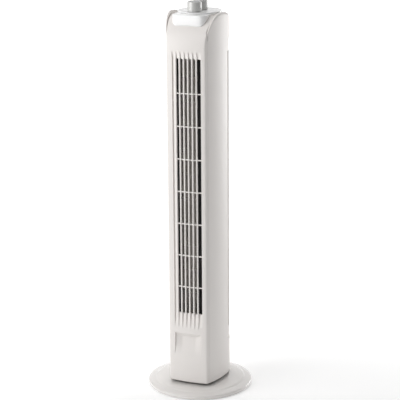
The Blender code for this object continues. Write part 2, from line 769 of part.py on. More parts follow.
def build_impeller(axis):
    """The cross-flow wheel: curved blades through a stack of rings, closed at both ends."""
    bm = bmesh.new()
    for k in range(BLADES):
        turn = 2 * math.pi * k / BLADES
        path = []
        for radius, lag in ((0.0240, 0.00), (0.0304, 0.24)):
            x = AXIS_X + radius * math.cos(turn + lag)
            path.append((x, AXIS_Y + radius * math.sin(turn + lag)))
        add_prism(bm, ribbon(path, 0.0010), IMPELLER_BOTTOM + 0.0010, IMPELLER_TOP - 0.0010)
    wheel = add_piece("impeller", mesh_from(bm), PLASTIC_GREY, axis)
    rings = bmesh.new()
    step = (IMPELLER_TOP - IMPELLER_BOTTOM - PLATE_T) / (IMPELLER_RINGS - 1)
    for k in range(IMPELLER_RINGS):
        low = IMPELLER_BOTTOM + step * k
        inner = PIN_R + GAP if k in (0, IMPELLER_RINGS - 1) else IMPELLER_INNER_R
        profile = [(inner, low), (IMPELLER_R, low), (IMPELLER_R, low + PLATE_T), (inner, low + PLATE_T)]
        add_turned(rings, profile, (AXIS_X, AXIS_Y), 24)
    combine(wheel, mesh_from(rings), "UNION")


def build_impeller_shafts(axis):
    """The hub that couples the wheel to the motor, and the pin in its top."""
    spot = (AXIS_X, AXIS_Y)
    hub = [(PIN_R + GAP, 0.1345), (0.0110, 0.1345), (0.0110, 0.1475), (0.0180, 0.1475),
           (0.0180, 0.1515), (PIN_R + GAP, 0.1515)]
    add_piece("impeller_hub", turned(hub, spot, 24), METAL_ZINC, axis)
    add_piece("impeller_pin", tube(0.0, PIN_R, 0.6985, 0.7235, spot, 16), METAL_STEEL, axis)
    add_piece("motor_shaft", tube(0.0, PIN_R, 0.0605, 0.1530, spot, 16), METAL_STEEL, axis)
    rotor = tube(PIN_R + GAP, ROTOR_R, STATOR_BOTTOM - 0.0010, STATOR_TOP + 0.0010, spot, 24)
    add_piece("motor_rotor", rotor, METAL_STEEL, axis)


def build_upper_bearing(pivot):
    """The sleeve bearing and its soft seat in the upper plate."""
    spot = (AXIS_X, AXIS_Y)
    add_piece("upper_bearing", tube(PIN_R + GAP, 0.0080, 0.7110, 0.7205, spot, 24), METAL_BRASS, pivot)
    add_piece("bearing_seat", tube(0.0083, 0.0125, 0.7090, 0.7215, spot, 24), RUBBER, pivot)


# ---------------------------------------------------------------- motor
def build_motor(pivot):
    """The shaded-pole motor: laminated stator, two windings, two cups and their bearings."""
    spot = (AXIS_X, AXIS_Y)
    square = rounded_rectangle(AXIS_X - STATOR_HALF, AXIS_Y - STATOR_HALF, AXIS_X + STATOR_HALF,
                               AXIS_Y + STATOR_HALF, 0.0100, 3)
    stator = add_piece("motor_stator", prism(square, STATOR_BOTTOM, STATOR_TOP), METAL_STEEL, pivot)
    combine(stator, tube(0.0, ROTOR_R + 0.0005, 0.05, 0.15, spot))
    for name, low in (("coil_lower", STATOR_BOTTOM - 0.0095), ("coil_upper", STATOR_TOP + GAP)):
        add_piece(name, tube(0.0235, 0.0330, low, low + 0.0092, spot, 24), METAL_COPPER, pivot)
    for name, face, way in (("lower", STATOR_BOTTOM - GAP, -1), ("upper", STATOR_TOP + GAP, 1)):
        profile = [(0.0080, face + way * 0.0180), (0.0080, face + way * 0.0100),
                   (0.0120, face + way * 0.0100), (0.0120, face + way * 0.0118),
                   (0.0345, face + way * 0.0118), (0.0345, face), (0.0365, face),
                   (0.0365, face + way * 0.0136), (0.0120, face + way * 0.0136),
                   (0.0120, face + way * 0.0180)]
        add_piece(f"motor_cup_{name}", turned(profile, spot, 24), METAL_ZINC, pivot)
        ends = sorted((face + way * 0.0105, face + way * 0.0175))
        bearing = tube(PIN_R + GAP, 0.0077, *ends, spot, 16)
        add_piece(f"motor_bearing_{name}", bearing, METAL_BRASS, pivot)
    cup_top = STATOR_TOP + GAP + 0.0136
    for k in range(3):
        turn = math.radians(90 + 120 * k)
        place = (AXIS_X + 0.0270 * math.cos(turn), AXIS_Y + 0.0270 * math.sin(turn))
        mount = tube(0.0, 0.0050, cup_top + GAP, LOWER_PLATE - GAP, place, 12)
        add_piece(f"motor_mount_{k + 1}", mount, RUBBER, pivot)


def build_swing_drive(pivot):
    """The small geared motor on its bracket, and the crank below it."""
    spot = (0.0, CRANK_Y)
    shelf = rounded_rectangle(-0.0460, 0.0110, 0.0460, 0.0410, 0.0040, 2)
    bracket = add_piece("swing_bracket", prism(shelf, 0.0404, 0.0424), METAL_ZINC, pivot)
    for side in (-1, 1):
        ends = sorted((side * 0.0400, side * 0.0455))
        leg = [(ends[0], 0.0140), (ends[1], 0.0140), (ends[1], 0.0380), (ends[0], 0.0380)]
        combine(bracket, prism(leg, 0.0247, 0.0414), "UNION")
    combine(bracket, tube(0.0, 0.0065, 0.03, 0.05, spot, 16))
    motor = tube(0.0, SWING_MOTOR_R, 0.0427, 0.0585, spot)
    can = add_piece("swing_motor", motor, METAL_STEEL, pivot)
    combine(can, tube(0.0, 0.0053, 0.0400, 0.0470, spot, 16))
    axis = make_empty("crank_axis", (*spot, 0.0400), pivot)
    low = POST_TOP + GAP + ARM_T + 0.0006
    profile = [(0.0, low), (CRANK_R + 0.0045, low), (CRANK_R + 0.0045, low + 0.0024),
               (0.0050, low + 0.0024), (0.0050, 0.0465), (0.0, 0.0465)]
    crank = add_piece("swing_crank", turned(profile, spot), PLASTIC_CREAM, axis)
    pin = tube(0.0, CRANK_PIN_R, low - ARM_T - 0.0004, low + 0.0010, (0.0, CRANK_Y + CRANK_R), 16)
    combine(crank, pin, "UNION")


def build_wiring(pivot):
    """The bundle of leads from the motor up the side to the switches."""
    route = [(0.0260, 0.0330, 0.1125), (0.0380, 0.0330, 0.1150), (LOOM_X, LOOM_Y, 0.1220),
             (LOOM_X, LOOM_Y, 0.1400), (LOOM_X, LOOM_Y, 0.7050), (LOOM_X, LOOM_Y, 0.7200),
             (0.0400, 0.0260, 0.7330), (0.0260, 0.0200, 0.7400)]
    curve = bpy.data.curves.new("wiring_loom", "CURVE")
    curve.dimensions = "3D"
    curve.bevel_depth = 0.0022
    curve.bevel_resolution = 2
    curve.use_fill_caps = True
    spline = curve.splines.new("POLY")
    spline.points.add(len(route) - 1)
    for point, place in zip(spline.points, route):
        point.co = (*(Vector(place) - parent_place(pivot)), 1.0)
    obj = bpy.data.objects.new("wiring_loom", curve)
    obj.parent = pivot
    bpy.context.scene.collection.objects.link(obj)
    curve.materials.append(make_material("wiring_loom", *RUBBER))


def main():
    """Build every piece, base first, then the column from the outside in."""
    clear_scene()
    pivot = make_empty("swing_axis", (0.0, 0.0, BASE_TOP))
    build_base_shell()
    build_base_underside()
    build_cord_grommet()
    build_swivel()
    build_slotted_arm()
    build_tower_floor(pivot)
    build_front_cover(pivot)
    build_rear_cover(pivot)
    build_rear_grille(pivot)
    build_grille_screws(pivot)
    build_control_box(pivot)
    build_dial_plate(pivot)
    build_knob("speed", SPEED_Y, pivot)
    build_knob("timer", TIMER_Y, pivot)
    build_switches(pivot)
    build_end_plates(pivot)
    build_duct_walls(pivot)
    spin = make_empty("impeller_axis", (AXIS_X, AXIS_Y, 0.1070), pivot)
    build_impeller(spin)
    build_impeller_shafts(spin)
    build_upper_bearing(pivot)
    build_motor(pivot)
    build_swing_drive(pivot)
    build_wiring(pivot)


main()
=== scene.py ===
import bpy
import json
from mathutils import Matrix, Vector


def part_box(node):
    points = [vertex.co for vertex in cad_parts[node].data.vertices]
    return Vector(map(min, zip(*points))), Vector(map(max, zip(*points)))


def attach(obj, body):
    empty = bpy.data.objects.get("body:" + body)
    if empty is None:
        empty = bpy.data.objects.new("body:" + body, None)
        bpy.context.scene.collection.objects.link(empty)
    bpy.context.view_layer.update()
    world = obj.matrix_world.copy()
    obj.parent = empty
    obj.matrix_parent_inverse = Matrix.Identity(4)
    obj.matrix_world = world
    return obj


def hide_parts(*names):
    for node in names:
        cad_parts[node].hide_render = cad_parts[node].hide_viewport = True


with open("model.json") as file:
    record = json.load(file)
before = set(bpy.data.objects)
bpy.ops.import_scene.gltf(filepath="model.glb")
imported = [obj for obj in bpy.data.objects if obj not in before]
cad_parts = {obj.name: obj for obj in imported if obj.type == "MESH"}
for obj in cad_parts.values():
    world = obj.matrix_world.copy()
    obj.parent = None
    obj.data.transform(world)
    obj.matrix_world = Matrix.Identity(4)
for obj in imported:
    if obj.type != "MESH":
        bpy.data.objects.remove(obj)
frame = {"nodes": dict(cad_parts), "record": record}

"""Looks for a white tower fan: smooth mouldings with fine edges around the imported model.

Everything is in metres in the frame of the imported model: origin on the floor under the middle of
the base, +Z up, the air outlet faces -Y.
"""

import json
import math

import bmesh
import bpy
import numpy as np
from mathutils import Matrix, Vector

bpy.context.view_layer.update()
NODES = frame["nodes"]

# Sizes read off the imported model
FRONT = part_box("front_cover")
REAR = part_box("rear_cover")
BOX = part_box("control_box")
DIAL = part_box("dial_plate")
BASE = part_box("base_shell")
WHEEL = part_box("impeller")
FACE_Y = FRONT[0].y
BODY_BOTTOM = FRONT[0].z
BODY_TOP = REAR[1].z
BACK_R = REAR[1].x
BACK_Y = REAR[1].y - BACK_R
BASE_R = BASE[1].x

# Plan of the column
FACE_R = 0.2400
SIDE_R = 0.1790
CORNER_R = 0.0060
CORNER_STEPS = 8
SIDE_STEPS = 3
SEAM_Y = -0.0572
FRONT_END = SEAM_Y - 0.0003
WALL = 0.0024
FRONT_WALL = 0.0030
BOTTOM_EDGE = 0.0012

# Side view of the top
TOP_Y = -0.0120
EAR_Z = 0.7310
EAR_LEN = 0.0460
DECK_Z = 0.7160
DECK_LEN = 0.0550
DECK_TOP = 0.7765
REAR_FALL = 3.2

# Outlet grille and scoop
GROOVE_PITCH = 0.0088
GROOVE_FIRST = -0.0256
GROOVE_COUNT = 7
SLOT_HALF = 0.00315
LAST_EXTRA = 0.0017
GROOVE_DEPTH = 0.0036
SLOT_BOTTOM = 0.1710
SLOT_TOP = 0.6955
TAIL_BOTTOM = 0.1400
TAIL_TOP = 0.7090
GROOVE_WALL = 0.0003
GROOVE_SHARE = 0.85
TAIL_CURVE = 0.6
FIN_DEPTH = 0.0042
FIN_ZONE = 0.0335
RUNG_FIRST = 0.2277
RUNG_PITCH = 0.0665
RUNG_COUNT = 7
RUNG_HALF = 0.0013
RUNG_BACK = 0.0010
RUNG_DEPTH = 0.0025
SCOOP_HALF = 0.02815
SCOOP_TOP = 0.1275
SCOOP_BOTTOM = 0.0800
SCOOP_DEPTH = 0.0085
SCOOP_LEDGE = 0.0085

# Intake panel in the round back
PANEL_BOTTOM = 0.0980
PANEL_TOP = 0.7280
PANEL_EDGE = math.radians(1.0)
PANEL_GAP = 0.0008
PANEL_OPEN = (0.1240, 0.7020)
PANEL_FINS = 39
PANEL_FIN_W = 0.0012
PANEL_FIN_D = 0.0060
PANEL_RUNGS = 18

# Control box, dial and knobs
BOX_HALF = 0.0356
BOX_CORNER = 0.0120
NECK_R = 0.0120
DIAL_R = 0.0450
SCALE_R = 0.0420
CAP_R = 0.0107
POINTER_HALF = 0.0006

# The way from the camera to the far side of the studio
AHEAD = (-0.378, 0.926, 0.0)


# ---------------------------------------------------------------- materials
def shader_of(material):
    """The material's Principled node."""
    return material.node_tree.nodes["Principled BSDF"]


def new_material(name, colour, roughness, metallic=0.0, coat=0.0):
    """A Principled material to which the makers below add their own detail."""
    material = bpy.data.materials.new(name)
    material.use_nodes = True
    shader = shader_of(material)
    shader.inputs["Base Color"].default_value = (*colour, 1.0)
    shader.inputs["Roughness"].default_value = roughness
    shader.inputs["Metallic"].default_value = metallic
    shader.inputs["Coat Weight"].default_value = coat
    shader.inputs["Coat Roughness"].default_value = 0.08
    return material


def place_noise(material, scale, detail=3.0, stretch=(1.0, 1.0, 1.0)):
    """Noise in the object's own space, which keeps its scale on every piece."""
    nodes, links = material.node_tree.nodes, material.node_tree.links
    place = nodes.new("ShaderNodeTexCoord")
    mapping = nodes.new("ShaderNodeMapping")
    mapping.inputs["Scale"].default_value = stretch
    noise = nodes.new("ShaderNodeTexNoise")
    noise.inputs["Scale"].default_value = scale
    noise.inputs["Detail"].default_value = detail
    links.new(place.outputs["Object"], mapping.inputs["Vector"])
    links.new(mapping.outputs["Vector"], noise.inputs["Vector"])
    return noise.outputs["Fac"]


def vary_colour(material, factor, dark, light):
    """Drive the base colour between two near tones."""
    nodes, links = material.node_tree.nodes, material.node_tree.links
    ramp = nodes.new("ShaderNodeValToRGB")
    ramp.color_ramp.elements[0].position = 0.30
    ramp.color_ramp.elements[0].color = (*dark, 1.0)
    ramp.color_ramp.elements[1].position = 0.70
    ramp.color_ramp.elements[1].color = (*light, 1.0)
    links.new(factor, ramp.inputs["Fac"])
    links.new(ramp.outputs["Color"], shader_of(material).inputs["Base Color"])


def vary_roughness(material, factor, low, high):
    """Drive the roughness between two values."""
    nodes, links = material.node_tree.nodes, material.node_tree.links
    span = nodes.new("ShaderNodeMapRange")
    span.inputs["From Min"].default_value = 0.3
    span.inputs["From Max"].default_value = 0.7
    span.inputs["To Min"].default_value = low
    span.inputs["To Max"].default_value = high
    links.new(factor, span.inputs["Value"])
    links.new(span.outputs["Result"], shader_of(material).inputs["Roughness"])


def add_bump(material, factor, distance, strength=1.0):
    """Fine relief on top of the mesh."""
    nodes, links = material.node_tree.nodes, material.node_tree.links
    bump = nodes.new("ShaderNodeBump")
    bump.inputs["Strength"].default_value = strength
    bump.inputs["Distance"].default_value = distance
    links.new(factor, bump.inputs["Height"])
    links.new(bump.outputs["Normal"], shader_of(material).inputs["Normal"])


def tint(colour, factor):
    """A colour made lighter or darker."""
    return tuple(min(c * factor, 1.0) for c in colour)


def gloss_white(name, colour, roughness=0.42, coat=0.0):
    """White moulding: a faint flow of tone and the slight orange peel of the mould."""
    material = new_material(name, colour, roughness, coat=coat)
    flow = place_noise(material, 9.0, 2.0, (1.0, 1.0, 0.35))
    vary_colour(material, flow, tint(colour, 0.99), tint(colour, 1.005))
    vary_roughness(material, place_noise(material, 40.0, 2.0), roughness - 0.01, roughness + 0.015)
    add_bump(material, place_noise(material, 700.0, 1.0), 0.00001, 0.15)
    return material


def matt_plastic(name, colour, roughness=0.5):
    """Spark-eroded plastic with a fine grain."""
    material = new_material(name, colour, roughness)
    vary_colour(material, place_noise(material, 35.0, 3.0), tint(colour, 0.88), tint(colour, 1.12))
    vary_roughness(material, place_noise(material, 120.0, 2.0), roughness - 0.06, roughness + 0.08)
    add_bump(material, place_noise(material, 2600.0, 2.0), 0.00004, 0.6)
    return material


def rubber(name):
    """Soft black rubber, dusty in patches."""
    material = new_material(name, (0.02, 0.02, 0.02), 0.75)
    vary_colour(material, place_noise(material, 90.0, 5.0), (0.014, 0.014, 0.015), (0.035, 0.034, 0.033))
    add_bump(material, place_noise(material, 1500.0, 3.0), 0.00005, 0.5)
    return material


def turned_metal(name, colour, roughness, stretch=(1.0, 1.0, 40.0)):
    """Metal with the fine lines that machining or plating leaves."""
    material = new_material(name, colour, roughness, metallic=1.0)
    lines = place_noise(material, 60.0, 3.0, stretch)
    vary_colour(material, lines, tint(colour, 0.86), tint(colour, 1.08))
    vary_roughness(material, lines, roughness - 0.05, roughness + 0.10)
    add_bump(material, lines, 0.00002, 0.4)
    return material


def silver_paint(name):
    """Satin silver paint on the knobs, with a fine flake."""
    colour = (0.60, 0.60, 0.585)
    material = new_material(name, colour, 0.40, metallic=0.18)
    flake = place_noise(material, 5200.0, 2.0)
    vary_colour(material, flake, tint(colour, 0.93), tint(colour, 1.06))
    vary_roughness(material, place_noise(material, 300.0, 2.0), 0.32, 0.42)
    add_bump(material, flake, 0.00001, 0.3)
    return material


def winding(name):
    """Enamelled copper wire, wound in fine turns."""
    material = new_material(name, (0.50, 0.19, 0.08), 0.32, metallic=0.9)
    turns = place_noise(material, 30.0, 1.0, (1.0, 1.0, 120.0))
    vary_colour(material, turns, (0.36, 0.12, 0.05), (0.60, 0.26, 0.12))
    add_bump(material, turns, 0.0002, 0.7)
    return material


def stacked_steel(name):
    """Stator laminations, seen edge on."""
    material = new_material(name, (0.42, 0.43, 0.45), 0.42, metallic=0.9)
    layers = place_noise(material, 20.0, 1.0, (0.2, 0.2, 100.0))
    vary_colour(material, layers, (0.30, 0.31, 0.33), (0.50, 0.51, 0.53))
    add_bump(material, layers, 0.0002, 0.6)
    return material


WHITE = (0.835, 0.802, 0.775)
SHELL_WHITE = gloss_white("shell_white", WHITE)
shader_of(SHELL_WHITE).inputs["Specular IOR Level"].default_value = 0.28
BOX_WHITE = gloss_white("box_white", (0.93, 0.93, 0.93), 0.24, 0.5)
BASE_WHITE = gloss_white("base_white", (0.80, 0.772, 0.748), 0.08, 0.7)
MATERIALS = {
    "white_plastic": SHELL_WHITE,
    "dark_plastic": matt_plastic("duct_black", (0.022, 0.022, 0.024), 0.5),
    "grey_plastic": matt_plastic("impeller_grey", (0.80, 0.765, 0.72), 0.48),
    "cream_plastic": matt_plastic("acetal_cream", (0.72, 0.68, 0.58), 0.4),
    "knob_silver": silver_paint("knob_silver"),
    "soft_rubber": rubber("soft_rubber"),
    "steel": turned_metal("ground_steel", (0.50, 0.51, 0.53), 0.30),
    "zinc_plate": turned_metal("zinc_plate", (0.62, 0.63, 0.64), 0.34, (30.0, 1.0, 1.0)),
    "copper_wire": winding("copper_winding"),
    "bronze": turned_metal("sintered_bronze", (0.60, 0.44, 0.20), 0.42),
}
STATOR_STEEL = stacked_steel("stator_laminations")
CAP_GREY = turned_metal("cap_grey", (0.34, 0.34, 0.34), 0.38, (1.0, 1.0, 1.0))


def finish_cad_nodes():
    """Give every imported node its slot's procedural finish, and the stator its stacked sheets."""
    slots = {part["node"]: part["material_slot"] for part in frame["record"]["subparts"]}
    for name, obj in NODES.items():
        obj.data.materials.clear()
        obj.data.materials.append(MATERIALS[slots[name]])
        obj.data.shade_smooth()
        obj.data.set_sharp_from_angle(angle=math.radians(32))
    NODES["motor_stator"].data.materials[0] = STATOR_STEEL


# ---------------------------------------------------------------- mesh helpers
def new_piece(name, mesh, material, body, replaced=(), sharp=40):
    """Link a finished mesh, shade it, and tie it to its body and slot."""
    mesh.name = name
    obj = bpy.data.objects.new(name, mesh)
    bpy.context.scene.collection.objects.link(obj)
    mesh.materials.append(material)
    mesh.shade_smooth()
    mesh.set_sharp_from_angle(angle=math.radians(sharp))
    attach(obj, body)
    if replaced:
        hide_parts(*replaced)
    return obj


def mesh_of(vertices, faces):
    """A mesh with unused vertices dropped and its faces pointing out."""
    mesh = bpy.data.meshes.new("mesh")
    mesh.from_pydata([tuple(v) for v in vertices], [], faces)
    bm = bmesh.new()
    bm.from_mesh(mesh)
    loose = [v for v in bm.verts if not v.link_faces]
    bmesh.ops.delete(bm, geom=loose, context="VERTS")
    bmesh.ops.recalc_face_normals(bm, faces=bm.faces)
    bm.to_mesh(mesh)
    bm.free()
    return mesh


def shell_mesh(outer, inner, keep=None):
    """A closed shell between two grids of the same size; keep says which cells are solid."""
    outer, inner = np.asarray(outer, float), np.asarray(inner, float)
    rows, columns = outer.shape[:2]
    if keep is None:
        keep = np.ones((rows - 1, columns - 1), bool)
    faces = []

    def at(row, column, side=0):
        """Number of a grid point, on the outer or the inner side."""
        return (side * rows + row) * columns + column

    def solid(row, column):
        """Whether a cell exists and is kept."""
        return 0 <= row < rows - 1 and 0 <= column < columns - 1 and keep[row, column]

    for r in range(rows - 1):
        for c in range(columns - 1):
            if not keep[r, c]:
                continue
            faces.append((at(r, c), at(r, c + 1), at(r + 1, c + 1), at(r + 1, c)))
            faces.append((at(r, c, 1), at(r + 1, c, 1), at(r + 1, c + 1, 1), at(r, c + 1, 1)))
            if not solid(r - 1, c):
                faces.append((at(r, c), at(r, c, 1), at(r, c + 1, 1), at(r, c + 1)))
            if not solid(r + 1, c):
                faces.append((at(r + 1, c + 1), at(r + 1, c + 1, 1), at(r + 1, c, 1), at(r + 1, c)))
            if not solid(r, c - 1):
                faces.append((at(r + 1, c), at(r + 1, c, 1), at(r, c, 1), at(r, c)))
            if not solid(r, c + 1):
                faces.append((at(r, c + 1), at(r, c + 1, 1), at(r + 1, c + 1, 1), at(r + 1, c + 1)))
    vertices = np.concatenate([outer.reshape(-1, 3), inner.reshape(-1, 3)])
    return mesh_of(vertices, faces)


def loop_mesh(rings, closed_path=False):
    """A closed body through rings of the same size: with flat ends, or joined end to end."""
    rings = [[tuple(p) for p in ring] for ring in rings]
    count = len(rings[0])
    vertices = [p for ring in rings for p in ring]
    faces = []
    last = len(rings) if closed_path else len(rings) - 1
    for r in range(last):
        a, b = r * count, (r + 1) % len(rings) * count
        for k in range(count):
            m = (k + 1) % count
            faces.append((a + k, a + m, b + m, b + k))
    if not closed_path:
        faces.append(tuple(range(count)))
        faces.append(tuple((len(rings) - 1) * count + k for k in range(count)))
    return mesh_of(vertices, faces)


def upright(outline, bottom, top):
    """A closed (x, y) outline pulled up between two levels."""
    return loop_mesh([[(x, y, z) for x, y in outline] for z in (bottom, top)])


def joined(meshes):
    """Several closed bodies in one mesh."""
    bm = bmesh.new()
    for mesh in meshes:
        bm.from_mesh(mesh)
    result = bpy.data.meshes.new("mesh")
    bm.to_mesh(result)
    bm.free()
    return result


def arc(centre, radius, start, end, steps):
    """Points along an arc, both ends included."""
    turns = [start + (end - start) * k / steps for k in range(steps + 1)]
    return [(centre[0] + radius * math.cos(t), centre[1] + radius * math.sin(t)) for t in turns]


def turned_mesh(profile, centre=(0.0, 0.0), segments=96):
    """Turn a closed (radius, z) profile about a vertical axis."""
    rings = []
    for k in range(segments):
        turn = 2 * math.pi * k / segments
        c, s = math.cos(turn), math.sin(turn)
        rings.append([(centre[0] + r * c, centre[1] + r * s, z) for r, z in profile])
    mesh = loop_mesh(rings, closed_path=True)
    bm = bmesh.new()
    bm.from_mesh(mesh)
    bmesh.ops.remove_doubles(bm, verts=bm.verts, dist=1e-6)
    bmesh.ops.dissolve_degenerate(bm, edges=bm.edges, dist=1e-7)
    bm.to_mesh(mesh)
    bm.free()
    return mesh


def rounded_profile(points, steps=5):
    """A closed (radius, z) outline whose corners (r, z, fillet) are rounded."""
    result = []
    count = len(points)
    for i, (x, z, fillet) in enumerate(points):
        if fillet <= 0:
            result.append((x, z))
            continue
        corner = Vector((x, z))
        back = (Vector(points[i - 1][:2]) - corner).normalized()
        ahead = (Vector(points[(i + 1) % count][:2]) - corner).normalized()
        half = back.angle(ahead) / 2
        reach = fillet / math.tan(half)
        middle = corner + (back + ahead).normalized() * fillet / math.sin(half)
        first = corner + back * reach - middle
        last = corner + ahead * reach - middle
        turn = first.angle_signed(last)
        for k in range(steps + 1):
            spoke = first.copy()
            spoke.rotate(Matrix.Rotation(-turn * k / steps, 2))
            result.append(tuple(middle + spoke))
    return result


def smooth(value):
    """Ease from 0 to 1."""
    t = np.clip(value, 0.0, 1.0)
    return t * t * (3 - 2 * t)


# ---------------------------------------------------------------- shape of the column
def side_half_width(y):
    """Half the column's width at a given depth."""
    if y > BACK_Y:
        return math.sqrt(max(BACK_R**2 - (y - BACK_Y) ** 2, 0.0))
    return BACK_R - SIDE_R + math.sqrt(SIDE_R**2 - (y - BACK_Y) ** 2)


def corner_circle():
    """Centre of the small front corner, and the angles where it meets the face and the side."""
    face = Vector((0.0, FACE_Y + FACE_R))
    side = Vector((BACK_R - SIDE_R, BACK_Y))
    a, b = FACE_R - CORNER_R, SIDE_R - CORNER_R
    gap = side - face
    along = (a**2 - b**2 + gap.length_squared) / (2 * gap.length)
    across = math.sqrt(a**2 - along**2)
    step = gap.normalized()
    foot = face + step * along
    offset = Vector((-step.y, step.x)) * across
    centre = min((foot + offset, foot - offset), key=lambda p: p.y)
    start = math.atan2(centre.y - face.y, centre.x - face.x)
    end = math.atan2(centre.y - side.y, centre.x - side.x)
    return centre, start, end


def crown(x):
    """How far the bowed face lies behind its middle."""
    return FACE_R - math.sqrt(FACE_R**2 - x * x)


def groove_edges(k):
    """Left and right edge of one groove across the face."""
    left = GROOVE_FIRST + k * GROOVE_PITCH - SLOT_HALF
    return left, left + 2 * SLOT_HALF + (LAST_EXTRA if k == GROOVE_COUNT - 1 else 0.0)


def face_section():
    """The front cover's plan from seam to seam: x, depth behind the face's middle, and normal."""
    xs = [-0.0360, -0.0345, -0.0330, 0.0345, 0.0360]
    for k in range(GROOVE_COUNT):
        left, right = groove_edges(k)
        xs += [left, left + GROOVE_WALL, left + 0.0006, right - 0.0007, right - 0.0003, right]
        xs += list(np.linspace(left + 0.0006, right - 0.0007, 6)[1:-1])
    face = []
    for x in sorted(xs):
        face.append((x, crown(x), x / FACE_R, -math.sqrt(1 - (x / FACE_R) ** 2)))
    centre, start, end = corner_circle()
    side = []
    for k in range(CORNER_STEPS + 1):
        turn = start + (end - start) * k / CORNER_STEPS
        nx, ny = math.cos(turn), math.sin(turn)
        side.append((centre.x + CORNER_R * nx, centre.y + CORNER_R * ny - FACE_Y, nx, ny))
    first = side[-1][1] + FACE_Y
    for k in range(1, SIDE_STEPS + 1):
        y = first + (FRONT_END - first) * k / SIDE_STEPS
        nx = (side_half_width(y) - BACK_R + SIDE_R) / SIDE_R
        side.append((side_half_width(y), y - FACE_Y, nx, (y - BACK_Y) / SIDE_R))
    return [(-x, d, -nx, ny) for x, d, nx, ny in side[::-1]] + face + side


def face_rows():
    """Levels up the face, dense where the grooves fade and where the scoop turns."""
    levels = [BODY_BOTTOM + BOTTOM_EDGE, 0.0300, 0.0450, 0.0620, 0.0740]
    levels += list(np.linspace(SCOOP_BOTTOM, SCOOP_TOP - SCOOP_LEDGE - 0.004, 7))
    levels += list(np.linspace(SCOOP_TOP - SCOOP_LEDGE - 0.003, SCOOP_TOP, 14))
    levels += [0.1310, 0.1355]
    levels += list(np.linspace(TAIL_BOTTOM - 0.001, SLOT_BOTTOM, 16))
    levels += list(np.linspace(0.22, 0.65, 9))
    levels += list(np.linspace(SLOT_TOP, TAIL_TOP + 0.001, 12))
    levels += [0.7130]
    return levels


def tail_strength(z):
    """How deep the grooves are at a level, from 0 at their ends to 1 beside the windows."""
    if z < SLOT_BOTTOM:
        return max((z - TAIL_BOTTOM) / (SLOT_BOTTOM - TAIL_BOTTOM), 0.0) ** TAIL_CURVE
    if z > SLOT_TOP:
        return max((TAIL_TOP - z) / (TAIL_TOP - SLOT_TOP), 0.0) ** TAIL_CURVE
    return 1.0


def groove_depth(x, z):
    """A groove drops at its left edge and climbs back to the face on its right."""
    strength = tail_strength(z)
    for k in range(GROOVE_COUNT):
        left, right = groove_edges(k)
        if left < x < right and strength > 0:
            wall = min((x - left) / GROOVE_WALL, 1.0)
            climb = min((right - x) / (GROOVE_SHARE * (right - left)), 1.0)
            return GROOVE_DEPTH * strength * wall * climb
    return 0.0


def scoop_depth(x, z):
    """Depth of the hollow below the grille: a sagging ledge on top, fading out downwards."""
    if not SCOOP_BOTTOM < z < SCOOP_TOP:
        return 0.0
    wall = smooth((SCOOP_HALF + 0.0006 - abs(x)) / 0.0006)
    bowl = 0.5 + 0.5 * smooth((SCOOP_HALF - abs(x)) / 0.016)
    drop = (SCOOP_TOP - z) / (SCOOP_LEDGE * bowl)
    rest = (z - SCOOP_BOTTOM) / (SCOOP_TOP - SCOOP_LEDGE * bowl - SCOOP_BOTTOM)
    return float(wall * bowl * min(drop, 1 - max(1 - rest, 0.0) ** 1.5)) * SCOOP_DEPTH


def ear_height(y):
    """Height of the side wall's top edge."""
    if y < TOP_Y:
        return EAR_Z + (BODY_TOP - EAR_Z) * math.sqrt(max(1 - ((TOP_Y - y) / EAR_LEN) ** 2, 0.0))
    return BODY_TOP - REAR_FALL * (y - TOP_Y) ** 2


def deck_height(y):
    """Height of the slope and the deck at the middle of the column."""
    if y < TOP_Y:
        return DECK_Z + (DECK_TOP - DECK_Z) * math.sqrt(max(1 - ((TOP_Y - y) / DECK_LEN) ** 2, 0.0))
    return DECK_TOP - REAR_FALL * (y - TOP_Y) ** 2


def ear_round(y):
    """Radius of the side wall's rounded top edge: fine at the seam, full at the back."""
    front = 0.0034 * float(smooth((y + 0.054) / 0.036))
    back = 0.0024 * float(smooth((y - TOP_Y) / 0.05))
    return 0.0008 + front + back


def ear_inset(y):
    """How far inside the column's outline the inner face of the side wall stands."""
    return ear_round(y) + 0.0016


CORNER_DEPTH = face_section()[-1][1]


# ---------------------------------------------------------------- front cover
def front_path():
    """Rows of the front cover, bottom to deck: y, z, normal (y, z), size of its curves, inset."""
    rows = []
    for turn in (0, 30, 60):
        lift = BOTTOM_EDGE * (1 - math.cos(math.radians(turn)))
        inset = BOTTOM_EDGE - BOTTOM_EDGE * math.sin(math.radians(turn))
        rows.append((FACE_Y, BODY_BOTTOM + lift, -1.0, 0.0, 1.0, inset))
    rows += [(FACE_Y, z, -1.0, 0.0, 1.0, 0.0) for z in face_rows()]
    rise = DECK_TOP - DECK_Z
    for k in range(37):
        turn = math.pi / 2 * k / 36
        y, z = TOP_Y - DECK_LEN * math.cos(turn), DECK_Z + rise * math.sin(turn)
        normal = Vector((-math.cos(turn) / DECK_LEN, math.sin(turn) / rise)).normalized()
        ease = float(smooth(turn / (math.pi / 2)))
        fit = min(max((FRONT_END - y) / (-normal.x * CORNER_DEPTH), 0.5 - 0.2 * ease), 1.0)
        rows.append((y, z, normal.x, normal.y, fit, 0.0))
    for k in range(1, 6):
        y = TOP_Y + (BACK_Y - TOP_Y) * k / 5
        normal = Vector((2 * REAR_FALL * (y - TOP_Y), 1.0)).normalized()
        rows.append((y, deck_height(y), normal.x, normal.y, 0.3, 0.0))
    return rows


def slope_half_width(y, ny, tangent):
    """Half the slope's width: flush with the column up to the side wall's edge, then inside it."""
    side = max(y - ny * tangent, FRONT_END)
    inside = float(smooth((side - SEAM_Y + 0.0001) / 0.0030))
    return side_half_width(side) - inside * (ear_inset(side) + 0.0007)


